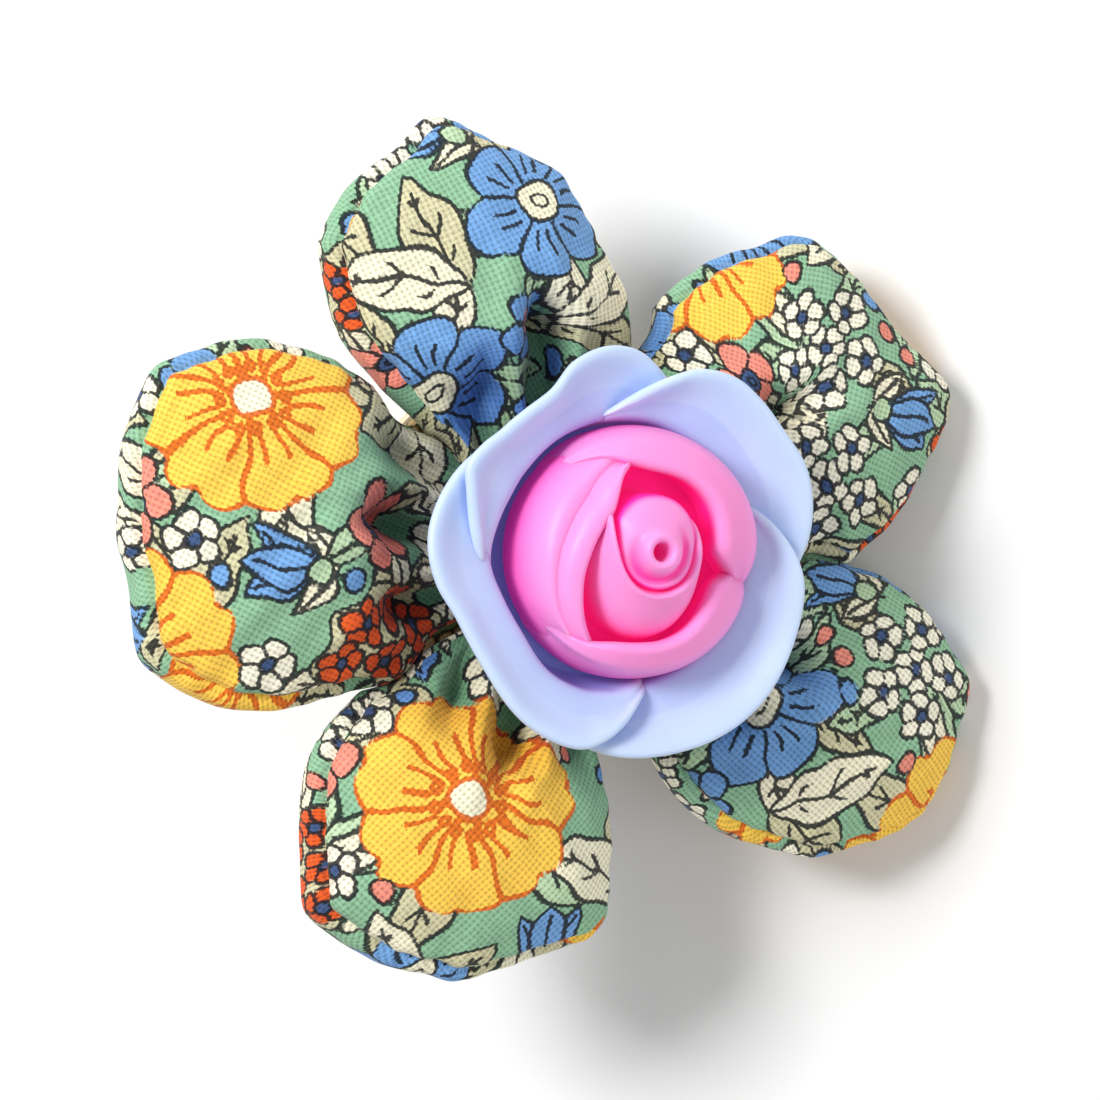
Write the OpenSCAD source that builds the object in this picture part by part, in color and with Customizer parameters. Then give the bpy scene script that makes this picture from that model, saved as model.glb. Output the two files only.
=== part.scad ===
/* [Flower] */
// Distance from the flower's centre to the middle of each petal
petal_mid = 14.5; // [14:0.1:15]
// Height of a stuffed petal above its middle plane, rose side
petal_front = 3.9; // [3.4:0.1:4.2]
// Height of a stuffed petal below its middle plane, clip side
petal_back = 3.6; // [3.2:0.1:3.8]
// Gap left between neighbouring petals
petal_gap = 0.3; // [0.2:0.05:0.6]
// Share of its full height that a petal keeps at its gathered root
root_share = 0.6; // [0.5:0.02:0.62]
// Depth of the pinched fold that runs out from each root
pinch_depth = 2.1; // [0.5:0.1:2.4]
// Half width of that fold
pinch_w = 1.3; // [1:0.1:2]
// Depth of the smaller gathers beside the fold
gather_depth = 0.45; // [0:0.05:0.7]

/* [Rose] */
// Offset of the rose from the flower's centre
rose_shift = 0.5; // [0:0.1:1]
// Height of the rose's flat base above the petals' middle plane
rose_base_z = 2.05; // [2.05:0.05:2.5]
// Radius of the flat base
rose_base_r = 7.2; // [6.8:0.1:7.4]
// Mean radius of the outer petals' rim
rose_rim_r = 10.45; // [10:0.05:10.6]
// Height of that rim above the base
rose_rim_h = 5.6; // [5:0.1:6]
// Thickness of the resin floor inside the outer petals
rose_floor_t = 1.1; // [0.8:0.1:1.4]
// Radius of the bowl inside the outer petals, at its floor
bowl_r = 7.8; // [7.7:0.05:8]
// Largest radius of the bud
bud_r = 6.85; // [6.6:0.05:6.9]
// Offset of the bud from the middle of the rose
bud_shift = 0.5; // [0.3:0.1:0.6]
// Height of the bud's tip above the base
bud_h = 9.2; // [8.8:0.1:9.4]
// Radius of the hole in the bud's spiral
bud_hole_r = 0.5; // [0.4:0.05:0.7]

/* [Back plates] */
// Radius of the clip's disc
disc_r = 10.1; // [9.8:0.05:10.4]
// Thickness of the clip's disc
disc_t = 1.2; // [1:0.1:1.4]
// Radius of the plate that the petals are sewn to
plate_r = 10.35; // [10:0.05:10.5]
// Thickness of that plate
plate_t = 1.5; // [1.3:0.1:1.6]
// Height of the disc's outer face below the petals' middle plane
back_z = 5.7; // [5.7:0.05:6.2]

/* [Ear post and stopper] */
// Radius of the ear post
post_r = 0.42; // [0.38:0.01:0.45]
// Length of the ear post from the disc
post_len = 10.3; // [10:0.1:10.6]
// Distance of the post from the disc's centre
post_off = 4.0; // [3.8:0.05:4.2]
// Height of the friction notch above the disc
notch_h = 5.25; // [5:0.05:5.3]
// Height of the stopper's flange above the disc
stopper_h = 6.1; // [6:0.05:6.2]
// Overall length of the stopper
stopper_len = 4.5; // [4.2:0.1:4.6]
// Radius of the stopper's flange
flange_r = 2.35; // [2.2:0.05:2.4]
// Radius of the stopper's nose
nose_r = 1.7; // [1.6:0.05:1.75]

/* [Spring clip] */
// Distance of the hinge from the disc's centre
hinge_off = 5.8; // [5.7:0.05:6]
// Height of the hinge axis above the disc
hinge_h = 1.55; // [1.5:0.05:1.6]
// Radius of the bent wire
wire_r = 0.475; // [0.44:0.005:0.48]
// Running clearance of the wire's feet in the barrels
foot_gap = 0.05; // [0.03:0.01:0.08]
// Angle at which each leg of the wire spreads from the middle
leg_turn = 13.9; // [13.7:0.05:14]
// Radius of the wire's round end
loop_r = 3.2; // [3.15:0.05:3.3]
// Angle of the closed wire to the disc
wire_slope = 6; // [5:0.5:7]
// Outer radius of each rolled barrel
barrel_r = 1.02; // [0.98:0.01:1.05]
// Length of each barrel
barrel_len = 2.9; // [2.7:0.1:3]
// Clear width between the barrels
barrel_gap = 2.8; // [2.7:0.1:3]
// Width of the spring plate
spring_w = 4.4; // [4:0.1:4.6]
// Thickness of the spring plate
spring_t = 0.45; // [0.4:0.05:0.5]

/* [Rest pose] */
// Lean of the flower towards its right when it lies on its back
lean = 30.55; // [29:0.01:33]
// Roll of the flower about the line of its lean
roll = -1.52; // [-3:0.01:3]
// Height of the petals' middle plane above the surface
stand_h = 12.4; // [10:0.01:14]
// Shift along X that centres the flower's box
shift_x = 0.47; // [-3:0.01:3]
// Shift along Y that centres the flower's box
shift_y = -0.2; // [-3:0.05:3]

/* [Hidden] */

sides_round = 48;
// One row for each petal: direction, then where its front fold ends and how far to the side,
// then the same two sizes for the fold on its back
petal_rows = [
    [106, 15.2, -0.9, 14.2,  0.6],
    [ 30, 14.4, -1.2, 14.8,  0.9],
    [-33, 15.0,  1.6, 13.8, -0.8],
    [-108, 12.6, 1.2, 15.0, -0.5],
    [175, 14.2, -2.6, 14.6,  1.0],
];
// One row for each petal: radius of its outline about its own middle, at steps of 22.5 degrees
// that start at the tip and go round counter-clockwise, seen from the rose side
outline_rows = [
    [9.1, 9.1, 9.6, 9.3, 8.8, 8.4, 8.2,  9.2, 11.5, 9.0, 7.6, 7.1, 6.6, 6.5, 7.1, 7.4],
    [8.6, 8.6, 9.6, 9.2, 9.2, 8.8, 8.4,  9.2, 11.5, 9.2, 8.4, 8.4, 8.5, 8.3, 9.0, 9.8],
    [10.6, 11.1, 10.9, 9.9, 8.7, 8.4, 8.2, 9.2, 11.5, 9.2, 7.9, 7.6, 7.6, 7.7, 8.2, 9.2],
    [8.8, 8.4, 8.2, 9.0, 8.0, 7.7, 8.0,  9.2, 11.5, 9.2, 8.8, 9.5, 10.2, 10.3, 10.5, 9.9],
    [10.1, 10.1, 10.5, 10.1, 9.4, 9.0, 8.6, 9.2, 11.5, 9.2, 8.4, 8.6, 9.0, 10.3, 11.0, 10.6],
];
// Where a petal starts to swell and where it is full, from the flower's centre
swell_from = 4;
swell_to = 14;
// Angle from the fold to each side gather, seen from the flower's centre
gather_turn = 15;
// Turns from the front pole to the back pole at which a petal's rings lie
petal_turns = [0, 14, 28, 42, 56, 70, 82, 94, 108, 124, 140, 156, 180];
petal_sides = 48;

// Radius of the outer petals' rim beyond the mean, and its height beyond the mean, at steps of
// 15 degrees that start on the flower's right; the low places are where one petal passes under the next
rim_out = [-0.2, 0.5, 0.5, 0.4, 0.4, -0.6, 0.3, 0.1, -1.1, -1.1, -0.7, 0.1,
           0.4, -0.3, -0.6, -0.4, 0.0, 0.2, 0.2, 0.4, 0.6, 0.6, 0.3, -0.2];
rim_up = [-0.5, 0.2, 0.5, 0.5, 0.3, -0.6, 0.4, 0.5, 0.4, 0.3, 0.0, -0.4,
          0.0, 0.2, 0.0, 0.1, 0.2, 0.1, -0.6, 0.0, 0.2, 0.3, 0.2, -0.2];
rose_sides = 72;
bud_sides = 60;

// Collar where the post is soldered to the disc, the post's friction notch and its bevelled tip
collar_r = 0.73;
collar_h = 0.4;
notch_len = 0.65;
notch_deep = 0.18;
tip_len = 0.12;
// Stopper: clearance of its bore, rounding of its flange, its neck and the rounding of its nose
stopper_gap = 0.05;
flange_edge = 0.55;
neck_r = 1.45;
neck_h = 1.7;
nose_round = 1.25;

// Spring plate: its far end, its window and the tongue bent up out of it
spring_half = spring_w / 2;
spring_end = hinge_off - 6.6;
tip_half = 0.9;
// Ears of the spring plate that carry the barrels
ear_w = 1.4;
ear_from = hinge_off - 0.4;
ear_to = hinge_off + barrel_r * 0.7;
window_from = spring_end + 1.1;
window_w = 1.9;
window_len = 2.6;
tongue_w = 1.3;
tongue_len = 1.0;
tongue_t = 0.35;

// Feet, bends and legs of the wire: the leg is the line that touches both the bend and the round end
foot_in = barrel_gap / 2 + 0.05;
foot_out = barrel_gap / 2 + barrel_len - 0.35;
bend_r = 0.8;
loop_mid = bend_r + (loop_r + bend_r - foot_in * cos(leg_turn)) / sin(leg_turn);
centres = norm([loop_mid - bend_r, foot_in]);
leg_len = sqrt(centres * centres - (loop_r + bend_r) * (loop_r + bend_r));
bent_r = wire_r - 0.005;
// Length by which the straight stretches run into the bent ones
lap = 0.05;
leg_from = [bend_r * (1 + sin(leg_turn)), foot_in - bend_r * cos(leg_turn)];

function smooth(x) = let (t = min(1, max(0, x))) t * t * (3 - 2 * t);
function wrap(list, i) = list[((i % len(list)) + len(list)) % len(list)];
// Curve through four values, from the second to the third as t goes from 0 to 1
function through(a, b, c, d, t) =
    0.5 * (2 * b + (c - a) * t + (2 * a - 5 * b + 4 * c - d) * t * t + (3 * b - 3 * c + d - a) * t * t * t);
function along(list, turn) =
    let (x = turn / 360 * len(list), i = floor(x))
    through(wrap(list, i - 1), wrap(list, i), wrap(list, i + 1), wrap(list, i + 2), x - i);
function between(a, b) = ((b - a) % 360 + 360) % 360;

// Half of the angle to the next petal, counter-clockwise and then clockwise
function half_left(p) = between(petal_rows[p][0], petal_rows[(p + 4) % 5][0]) / 2;
function half_right(p) = between(petal_rows[(p + 1) % 5][0], petal_rows[p][0]) / 2;
// Radius at which the ray at this turn meets the line half way to the neighbour
function neighbour_r(half, turn) =
    let (slope = tan(half), down = sin(turn) - cos(turn) * slope)
    down < 0.05 ? 99 : (petal_mid * slope - petal_gap / 2 / cos(half)) / down;
function outline_r(p, turn) =
    min(along(outline_rows[p], turn), neighbour_r(half_left(p), turn), neighbour_r(half_right(p), -turn));
// Depth of the fold and its two gathers at a point: a is outwards, b is sideways, in the petal's frame
function fold(a, b, end_a, end_b) =
    let (line = end_b * a / end_a, fade = smooth((end_a - a) / 5), turn = atan2(b, max(a, 1)))
    fade * (pinch_depth * exp(-pow((b - line) / pinch_w, 2))
        + gather_depth * (exp(-pow((turn - gather_turn) / 4, 2)) + exp(-pow((turn + gather_turn) / 4, 2))));
function petal_point(p, turn, tilt) =
    let (
        row = petal_rows[p],
        reach = outline_r(p, turn) * sin(tilt),
        a = petal_mid + reach * cos(turn),
        b = reach * sin(turn),
        share = root_share + (1 - root_share) * smooth((a - swell_from) / (swell_to - swell_from)),
        front = tilt < 90,
        full = share * cos(tilt) * (front ? petal_front : petal_back),
        dent = fold(a, b, row[front ? 1 : 3], row[front ? 2 : 4]) * min(1, abs(cos(tilt)) * 2),
        z = front ? full - min(dent, full * 0.75) : full + min(dent, -full * 0.65)
    )
    [a, b, z];

// Closed skin over rings of equal length, with a pole at each end
module ringed(first, rings, last) {
    n = len(rings[0]);
    m = len(rings);
    function at(i, j) = 1 + i * n + j % n;
    polyhedron(
        points = concat([first], [for (ring = rings) for (q = ring) q], [last]),
        faces = concat(
            [for (j = [0 : n - 1]) [0, at(0, j + 1), at(0, j)]],
            [for (i = [0 : m - 2]) for (j = [0 : n - 1]) [at(i, j), at(i, j + 1), at(i + 1, j)]],
            [for (i = [0 : m - 2]) for (j = [0 : n - 1]) [at(i, j + 1), at(i + 1, j + 1), at(i + 1, j)]],
            [for (j = [0 : n - 1]) [1 + m * n, at(m - 1, j), at(m - 1, j + 1)]]
        ),
        convexity = 6
    );
}

module rested() translate([shift_x, shift_y, stand_h]) rotate([roll, lean, 0]) children();

module petal(p) {
    turns = [for (j = [0 : petal_sides - 1]) j * 360 / petal_sides];
    last = len(petal_turns) - 1;
    rested() rotate(petal_rows[p][0])
    ringed(
        petal_point(p, 0, petal_turns[0]),
        [for (i = [1 : last - 1]) [for (t = turns) petal_point(p, t, petal_turns[i])]],
        petal_point(p, 0, petal_turns[last])
    );
}

module petal_1() color("darkseagreen") petal(0);
module petal_2() color("mediumaquamarine") petal(1);
module petal_3() color("cornflowerblue") petal(2);
module petal_4() color("goldenrod") petal(3);
module petal_5() color("palegoldenrod") petal(4);

function around(turn, r, z) = [r * cos(turn), r * sin(turn), z];
// Section through the outer petals at one turn, from the base over the rim to the floor inside
function petals_section(turn) =
    let (r = rose_rim_r + along(rim_out, turn), h = rose_rim_h + along(rim_up, turn))
    [
        [rose_base_r, 0], [rose_base_r + 1.0, 0.7], [r - 1.6, 2.0], [r - 0.7, h - 1.7], [r - 0.1, h - 0.8],
        [r, h - 0.35], [r - 0.3, h], [r - 0.9, h - 0.25], [min(r - 1.4, bowl_r + 0.9), h - 1.1],
        [bowl_r + 0.3, rose_floor_t + 1.6], [bowl_r, rose_floor_t + 0.7], [bowl_r - 0.6, rose_floor_t],
    ];
// Section through the bud at one turn: outer petals, the deep gap behind them, then the spiral
function bud_section(turn) =
    let (
        gap_r = 4.1 + 0.6 * cos(3 * (turn - 112)),
        lip = 0.35 * cos(2 * turn - 60),
        base = rose_floor_t + 0.12
    )
    [
        [bud_r - 0.9, base], [bud_r - 0.2, base + 0.9], [bud_r, base + 2.4], [bud_r - 0.25, base + 4.1],
        [bud_r - 0.9, bud_h - 2.6 + lip], [bud_r - 1.7, bud_h - 1.9 + lip], [gap_r + 0.7, bud_h - 1.8 + lip],
        [gap_r, bud_h - 2.6], [gap_r - 0.4, bud_h - 3.6], [gap_r - 0.9, bud_h - 1.6],
        [gap_r - 1.5, bud_h - 0.4], [1.4, bud_h], [0.8, bud_h - 0.15], [bud_hole_r, bud_h - 0.5],
        [bud_hole_r * 0.8, bud_h - 1.7],
    ];
module swept(count, low, high, sections) {
    n = len(sections[0]);
    ringed(
        [0, 0, low],
        [for (i = [0 : n - 1]) [for (j = [count : -1 : 1]) around(j * 360 / count,
            sections[j - 1][i][0], sections[j - 1][i][1])]],
        [0, 0, high]
    );
}
module on_rose() rested() translate([rose_shift, 0, rose_base_z]) children();

module rose_petals() color("lightsteelblue") on_rose()
    swept(rose_sides, 0, rose_floor_t, [for (j = [1 : rose_sides]) petals_section(j * 360 / rose_sides)]);

module rose_bud() color("hotpink") on_rose() translate([bud_shift, 0, 0])
    swept(bud_sides, rose_floor_t + 0.12, bud_h - 1.7,
        [for (j = [1 : bud_sides]) bud_section(j * 360 / bud_sides)]);

// The clip's own frame: the disc's outer face at height 0, +Z away from the flower, +X to the hinge
module on_back() rested() translate([0, 0, -back_z]) rotate([180, 0, 0]) children();

module rounded_plate(r, low, high) {
    edge = (high - low) / 2;
    rotate_extrude($fn = sides_round * 2) {
        translate([0, low]) square([r - edge, high - low]);
        translate([r - edge, low + edge]) intersection() {
            circle(edge, $fn = sides_round);
            translate([0, -edge]) square([edge, 2 * edge]);
        }
    }
}

module petal_plate() color("goldenrod") on_back()
    rounded_plate(plate_r, -disc_t - 0.1 - plate_t, -disc_t - 0.1);

module post() translate([-post_off, 0, 0]) {
    translate([0, 0, -0.2]) cylinder(h = collar_h + 0.2, r = collar_r, $fn = sides_round);
    cylinder(h = notch_h, r = post_r, $fn = sides_round);
    translate([0, 0, notch_h - 0.1]) cylinder(h = notch_len + 0.2, r = post_r - notch_deep, $fn = sides_round);
    translate([0, 0, notch_h + notch_len])
        cylinder(h = post_len - tip_len - notch_h - notch_len, r = post_r, $fn = sides_round);
    translate([0, 0, post_len - tip_len])
        cylinder(h = tip_len, r1 = post_r, r2 = post_r - tip_len, $fn = sides_round);
}

// Flat spring under the wire, with a window and the tongue that is bent up out of it
module spring_plate() {
    difference() {
        translate([0, 0, -0.05]) linear_extrude(spring_t + 0.05) polygon([
            [ear_to, spring_half + ear_w], [ear_from, spring_half + ear_w], [ear_from - 1.2, spring_half],
            [spring_end + 1.2, spring_half], [spring_end, tip_half], [spring_end, -tip_half],
            [spring_end + 1.2, -spring_half], [ear_from - 1.2, -spring_half],
            [ear_from, -spring_half - ear_w], [ear_to, -spring_half - ear_w],
        ]);
        translate([window_from, -window_w / 2, 0.02]) cube([window_len, window_w, spring_t]);
    }
    translate([window_from, -tongue_w / 2, spring_t - 0.1]) rotate([0, -60, 0])
        cube([tongue_len, tongue_w, tongue_t]);
}

module barrel(side) {
    middle = side * (barrel_gap + barrel_len) / 2;
    translate([hinge_off, middle, hinge_h]) difference() {
        union() {
            rotate([90, 0, 0]) cylinder(h = barrel_len, r = barrel_r, center = true, $fn = sides_round);
            translate([-barrel_r * 0.6, -barrel_len / 2, -hinge_h + 0.1])
                cube([barrel_r * 1.2, barrel_len, hinge_h - 0.3]);
        }
        rotate([90, 0, 0]) cylinder(h = barrel_len + 1, r = wire_r + foot_gap, center = true, $fn = sides_round);
    }
}

module clip_base() color("gold") on_back() {
    rounded_plate(disc_r, -disc_t, 0);
    post();
    spring_plate();
    barrel(1);
    barrel(-1);
}

// Bent stretch of wire, a hair thinner than the straight ones, about its own centre
module wire_arc(r, from, sweep) rotate([0, 0, from])
    rotate_extrude(angle = sweep, $fn = sides_round * 2) translate([r, 0]) circle(bent_r, $fn = sides_round);

// Wire with its feet in the barrels: two bends, two legs that spread, and the round end
module omega_wire() color("khaki") on_back()
    translate([hinge_off, 0, hinge_h]) rotate([0, 180 + wire_slope, 0]) {
        for (side = [-1, 1]) {
            translate([0, side * (foot_in + foot_out - lap) / 2, 0]) rotate([90, 0, 0])
                cylinder(h = foot_out - foot_in + lap, r = wire_r, center = true, $fn = sides_round);
            translate([bend_r, side * foot_in, 0])
                wire_arc(bend_r, side > 0 ? 180 : 90 - leg_turn, 90 + leg_turn);
            translate([leg_from[0], side * leg_from[1], 0]) rotate([0, 0, side * leg_turn]) rotate([0, 90, 0])
                translate([0, 0, -lap]) cylinder(h = leg_len + 2 * lap, r = wire_r, $fn = sides_round);
        }
        translate([loop_mid, 0, 0]) wire_arc(loop_r, -90 - leg_turn, 180 + 2 * leg_turn);
    }

// Soft bell on the post: a thick rounded flange, a slight neck and a rounded nose
module ear_stopper() color("mistyrose") on_back() translate([-post_off, 0, stopper_h])
    rotate_extrude($fn = sides_round * 2) difference() {
        union() {
            square([flange_r - flange_edge, 2 * flange_edge]);
            translate([flange_r - flange_edge, flange_edge]) circle(flange_edge, $fn = sides_round);
            square([neck_r, stopper_len - nose_round]);
            translate([0, neck_h]) square([nose_r, stopper_len - nose_round - neck_h]);
            square([nose_r - nose_round, stopper_len]);
            translate([nose_r - nose_round, stopper_len - nose_round]) circle(nose_round, $fn = sides_round);
        }
        translate([-2, -1]) square([2 + post_r + stopper_gap, stopper_len + 2]);
    }

petal_1();
petal_2();
petal_3();
petal_4();
petal_5();
rose_petals();
rose_bud();
petal_plate();
clip_base();
omega_wire();
ear_stopper();
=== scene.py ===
import math
import bpy
import numpy as np
from mathutils import Matrix, Vector


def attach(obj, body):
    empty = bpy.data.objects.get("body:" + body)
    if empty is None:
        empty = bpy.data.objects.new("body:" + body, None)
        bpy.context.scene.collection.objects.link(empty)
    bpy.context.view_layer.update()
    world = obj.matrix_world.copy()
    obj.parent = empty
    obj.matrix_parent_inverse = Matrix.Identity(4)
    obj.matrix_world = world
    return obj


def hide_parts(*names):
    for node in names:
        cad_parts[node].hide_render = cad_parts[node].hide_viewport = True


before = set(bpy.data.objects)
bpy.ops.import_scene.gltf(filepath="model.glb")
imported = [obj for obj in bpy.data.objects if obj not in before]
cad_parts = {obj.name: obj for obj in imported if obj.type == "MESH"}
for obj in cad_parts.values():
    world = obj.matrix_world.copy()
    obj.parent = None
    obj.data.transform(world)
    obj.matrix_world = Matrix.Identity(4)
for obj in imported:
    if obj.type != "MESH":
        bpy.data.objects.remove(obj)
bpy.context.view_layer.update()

print("frame loaded")

# Every size below is in millimetres, in the flower's own frame: its middle plane at height 0,
# +Z out of the rose. The rest pose lays that frame on the surface, on the stopper and two petals.
rest = {
    "lean": 30.55,        # degrees about Y
    "roll": -1.52,        # degrees about X, before the lean
    "shift": (0.47, -0.2, 12.4),       # after both turns
    "view": 21.0,         # degrees from the flower's axis to the camera
}
lean, roll = np.radians(rest["lean"]), np.radians(rest["roll"])
leanTurn = np.array([[np.cos(lean), 0, np.sin(lean)], [0, 1, 0], [-np.sin(lean), 0, np.cos(lean)]])
rollTurn = np.array([[1, 0, 0], [0, np.cos(roll), -np.sin(roll)], [0, np.sin(roll), np.cos(roll)]])
restTurn = leanTurn @ rollTurn


def laid(points):
    # flower millimetres to frame metres: turn by the rest pose, then shift
    return (points @ restTurn.T + np.array(rest["shift"])) * 0.001


def linear(code):
    # sRGB hex to linear RGBA
    parts = [int(code[i:i + 2], 16) / 255 for i in (1, 3, 5)]
    return [c / 12.92 if c <= 0.04045 else ((c + 0.055) / 1.055) ** 2.4 for c in parts] + [1.0]


def smooth(x):
    # 0 below 0, 1 above 1, and a soft step between
    t = np.clip(x, 0, 1)
    return t * t * (3 - 2 * t)


def bell(x, width):
    # 1 at 0, and less to both sides by a bell curve
    return np.exp(-(x / width) ** 2)


def between(a, b, c, d, t):
    # cubic from b to c whose slopes come from the values before and after
    slope, bend, twist = c - a, 2 * a - 5 * b + 4 * c - d, 3 * b - 3 * c + d - a
    return 0.5 * (2 * b + slope * t + bend * t ** 2 + twist * t ** 3)


def roundTable(values, turn):
    # closed curve through values spaced evenly round a circle, read at turn in degrees
    values = np.asarray(values, float)
    x = np.asarray(turn, float) / 360 * len(values)
    i = np.floor(x).astype(int)
    return between(*(values[(i + k) % len(values)] for k in (-1, 0, 1, 2)), x - i)


def openTable(rows, count):
    # open curve through the rows, resampled to count places; rows are columns of one table
    rows = np.asarray(rows, float)
    padded = np.vstack([2 * rows[0] - rows[1], rows, 2 * rows[-1] - rows[-2]])
    x = np.linspace(0, len(rows) - 1, count)
    i = np.minimum(np.floor(x).astype(int), len(rows) - 2)
    return between(*(padded[i + k] for k in range(4)), (x - i)[:, None])


def closedShell(name, points, rows, columns, flip=True):
    # closed mesh from a grid of points in flower millimetres, row after row: four-sided faces between
    # the rows, and a fan of triangles to the mean of the first row and of the last; flip turns the
    # faces round for a grid that runs the other way
    first, last = len(points), len(points) + 1
    points = np.vstack([points, points[:columns].mean(0), points[-columns:].mean(0)])
    i, j = np.meshgrid(np.arange(rows - 1) * columns, np.arange(columns), indexing="ij")
    k = (j + 1) % columns
    quads = np.stack([i + j, i + k, i + columns + k, i + columns + j], -1).reshape(-1, 4)
    j, k, end = j[0], k[0], (rows - 1) * columns
    triangles = np.vstack([np.stack([np.full(columns, first), k, j], -1),
                           np.stack([np.full(columns, last), end + j, end + k], -1)])
    if flip:
        quads, triangles = quads[:, ::-1], triangles[:, ::-1]
    corners = np.concatenate([quads.ravel(), triangles.ravel()]).astype(np.int32)
    starts = np.concatenate([np.arange(len(quads)) * 4, len(quads) * 4 + np.arange(len(triangles)) * 3])
    mesh = bpy.data.meshes.new(name)
    mesh.vertices.add(len(points))
    mesh.vertices.foreach_set("co", laid(points).astype(np.float32).ravel())
    mesh.loops.add(len(corners))
    mesh.loops.foreach_set("vertex_index", corners)
    mesh.polygons.add(len(starts))
    mesh.polygons.foreach_set("loop_start", starts.astype(np.int32))
    mesh.update(calc_edges=True)
    mesh.polygons.foreach_set("use_smooth", np.ones(len(starts), bool))
    mesh.validate()
    piece = bpy.data.objects.new(name, mesh)
    bpy.context.scene.collection.objects.link(piece)
    return piece, corners


def addValues(mesh, name, values, kind="FLOAT", domain="POINT"):
    # a named value at each point or corner of the mesh, for its material to read
    attribute = mesh.attributes.new(name, kind, domain)
    field = "color" if kind == "FLOAT_COLOR" else "value"
    attribute.data.foreach_set(field, np.ascontiguousarray(values, np.float32).ravel())


def newMaterial(name):
    # a material and its empty node tree
    material = bpy.data.materials.new(name)
    material.use_nodes = True
    tree = material.node_tree
    tree.nodes.clear()
    return material, tree


def addNode(tree, kind, inputs, **settings):
    # adds a node with its settings and links: an input takes a number or colour, a socket, or
    # another node, whose first output it then reads
    made = tree.nodes.new("ShaderNode" + kind)
    for key, value in settings.items():
        setattr(made, key, value)
    for key, value in inputs.items():
        if isinstance(value, bpy.types.Node):
            value = value.outputs[0]
        if isinstance(value, bpy.types.NodeSocket):
            tree.links.new(value, made.inputs[key])
        else:
            made.inputs[key].default_value = value
    return made


# Nearly all values of a noise lie between these two
noiseRange = {"From Min": 0.3, "From Max": 0.7}


clothPrint = {
    "repeat": 36.0,       # length after which the print repeats, both ways
    "seed": 23,
    "tries": 1500,        # most places that are tried for each kind of motif
    "closeness": 0.94,    # share of the clear radii that two motifs keep apart
    "waver": 0.12,        # how far the outlines stray from their formulas
    "thread": 0.3,        # from one thread to the next
    "roughness": 0.86,
    "sheen": 0.08,
    "ground": "#8fbc9d",
    "cream": "#f3ecd6",
    "olive": "#d3cdac",
    "paleGreen": "#bcd6b4",
    "blue": "#74a4e2",
    "yellow": "#ffcd55",
    "coral": "#f29283",
    "red": "#e65c26",
    "white": "#f7f1e2",
    "navy": "#3e5584",
    "ink": "#191d20",
    "warmInk": "#d9661a",
}
printRandom = np.random.default_rng(clothPrint["seed"])
noInk = 9.0               # distance to an outline where there is none
# Motifs of the print: kind, radius that each keeps clear, how many there are in a repeat
motifRows = [
    ("sun", 6.0, 2), ("bloom", 4.5, 2), ("redCluster", 4.7, 2), ("whiteCluster", 4.0, 3),
    ("creamLeaves", 3.7, 5), ("blueBud", 2.7, 6), ("coral", 2.5, 6), ("star", 2.2, 5),
    ("sprig", 2.2, 7), ("white", 1.55, 9), ("bud", 0.8, 20),
]
# Round flowers: radius, petals, colour, heart, how deep the notches between petals are, veins
blossomRows = {
    "bloom": (4.5, 6, "blue", "cream", 0.26, True),
    "coral": (2.4, 5, "coral", "navy", 0.36),
    "star": (2.1, 5, "blue", "coral", 0.34),
    "white": (1.55, 5, "white", "navy"),
}
# Rings of small flowers round one: how many in the ring, its radius, turn from each to the next, flower
clusterRows = {
    "redCluster": (7, 2.95, 1, (1.4, 5, "red", "navy")),
    "whiteCluster": (5, 2.6, 2, (1.42, 5, "white", "navy")),
}


def wrapped(distance):
    # the shorter way round the repeat, from minus half of it to half of it
    size = clothPrint["repeat"]
    return (distance + size / 2) % size - size / 2


def nearMotif(canvas, x, y, turn, reach):
    # places of the canvas within reach of a motif, in the motif's own turned frame
    dx, dy = wrapped(canvas["x"] - x), wrapped(canvas["y"] - y)
    inside = np.nonzero(dx * dx + dy * dy < reach * reach)[0]
    c, s = math.cos(turn), math.sin(turn)
    dx, dy = dx[inside], dy[inside]
    return inside, dx * c + dy * s, dy * c - dx * s


def ahead(x, y, turn, distance):
    # the place at this distance from x, y in the direction turn
    return x + distance * math.cos(turn), y + distance * math.sin(turn)


def paint(canvas, inside, distance, colour, warm=0.0):
    # fills where distance is below 0, and keeps the distance to the nearest outline that shows
    filled = distance < 0
    canvas["colour"][inside[filled]] = linear(clothPrint[colour])[:3]
    gap = canvas["gap"][inside]
    nearer = np.abs(distance) < gap
    canvas["warm"][inside] = np.where(filled | nearer, warm, canvas["warm"][inside])
    canvas["gap"][inside] = np.where(filled, -distance, np.minimum(gap, distance))


def ink(canvas, inside, where, distance):
    # an outline where the condition holds, at places this far from it
    canvas["gap"][inside] = np.minimum(canvas["gap"][inside], np.where(where, distance, noInk))


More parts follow.
